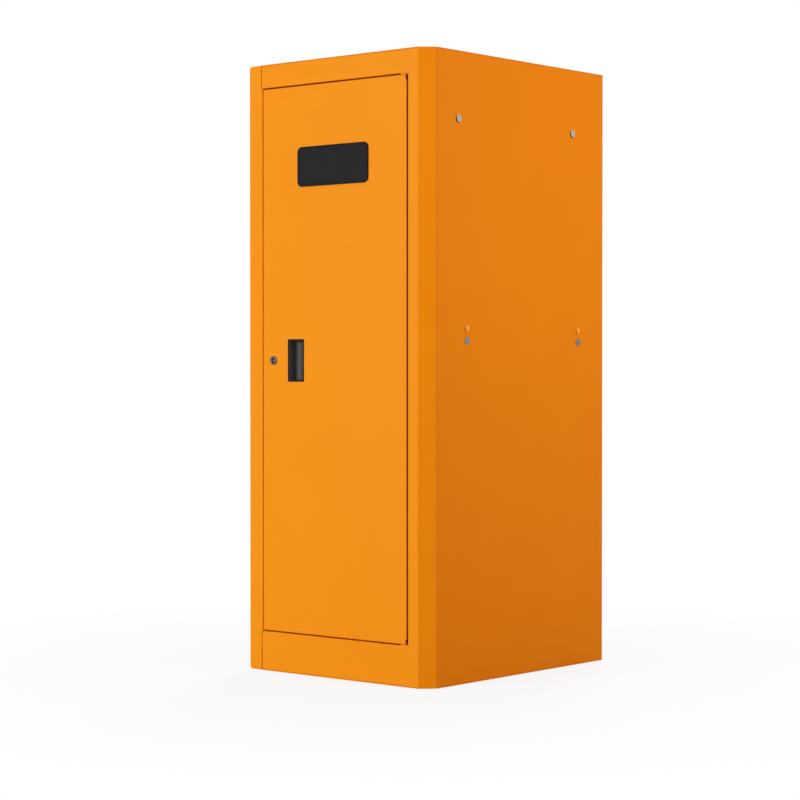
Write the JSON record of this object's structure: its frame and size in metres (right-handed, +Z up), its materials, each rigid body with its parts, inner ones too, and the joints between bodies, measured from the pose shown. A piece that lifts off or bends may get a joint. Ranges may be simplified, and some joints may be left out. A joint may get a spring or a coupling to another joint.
{
  "type": "tool chest side locker",
  "caption": "Tall narrow sheet-steel locker that bolts to the side of a tool chest, with one flush hinged door, a tubular lock, a recessed pull and shelves.",
  "frame": {"origin": "middle of the base, on the surface that the locker stands on", "axes": "+X to the right of someone facing the door, +Y from the door to the back, +Z up"},
  "size_m": [0.3853, 0.4656, 0.99],
  "materials": {
    "orange_powder_coat": "satin powder coat",
    "black_plastic": "fine moulded texture",
    "grey_nylon": "moulded",
    "zinc_plate": "dull zinc plate",
    "bright_chrome": "polished",
    "magnet_steel": "ground"
  },
  "bodies": {
    "cabinet": {"body_shell": "orange_powder_coat", "right_side_panel": "orange_powder_coat", "front_frame": "orange_powder_coat", "back_panel": "orange_powder_coat", "back_panel_rivets": "orange_powder_coat", "floor_pan": "orange_powder_coat", "hanging_strip_left": "orange_powder_coat", "hanging_strip_right": "orange_powder_coat", "shelf_angle_left": "orange_powder_coat", "shelf_angle_right": "orange_powder_coat", "shelf_angle_rivets": "orange_powder_coat", "shelf_angle_bolts": "zinc_plate", "shelf_angle_nuts": "zinc_plate", "upper_hole_plugs": "grey_nylon", "shelf_standards_left": "zinc_plate", "shelf_standards_right": "zinc_plate", "shelf_clips": "zinc_plate", "lower_shelf": "orange_powder_coat", "middle_shelf": "orange_powder_coat", "upper_shelf": "orange_powder_coat", "upper_hinge_leaf": "orange_powder_coat", "lower_hinge_leaf": "orange_powder_coat", "upper_hinge_pin": "zinc_plate", "lower_hinge_pin": "zinc_plate", "hinge_leaf_screws": "zinc_plate", "catch_housings": "black_plastic", "catch_magnets": "magnet_steel", "catch_screws": "zinc_plate"},
    "door": {"door_pan": "orange_powder_coat", "door_stiffener": "orange_powder_coat", "badge_plate": "black_plastic", "badge_push_nuts": "zinc_plate", "handle_cup": "black_plastic", "lock_housing": "bright_chrome", "lock_nut": "zinc_plate", "hinge_bushings": "grey_nylon", "strike_plates": "zinc_plate"},
    "lock_cylinder": {"lock_plug": "bright_chrome", "lock_cam": "zinc_plate", "cam_screw": "zinc_plate"}
  },
  "joints": [
    {"name": "door_hinge", "type": "hinge", "parent": "cabinet", "child": "door", "pos_m": [0.138, -0.225, 0.508], "axis": [0, 0, 1], "range_deg": [0, 120]},
    {"name": "lock_turn", "type": "hinge", "parent": "door", "child": "lock_cylinder", "pos_m": [-0.1366, -0.231, 0.5076], "axis": [0, 1, 0], "range_deg": [0, 90]}
  ]
}
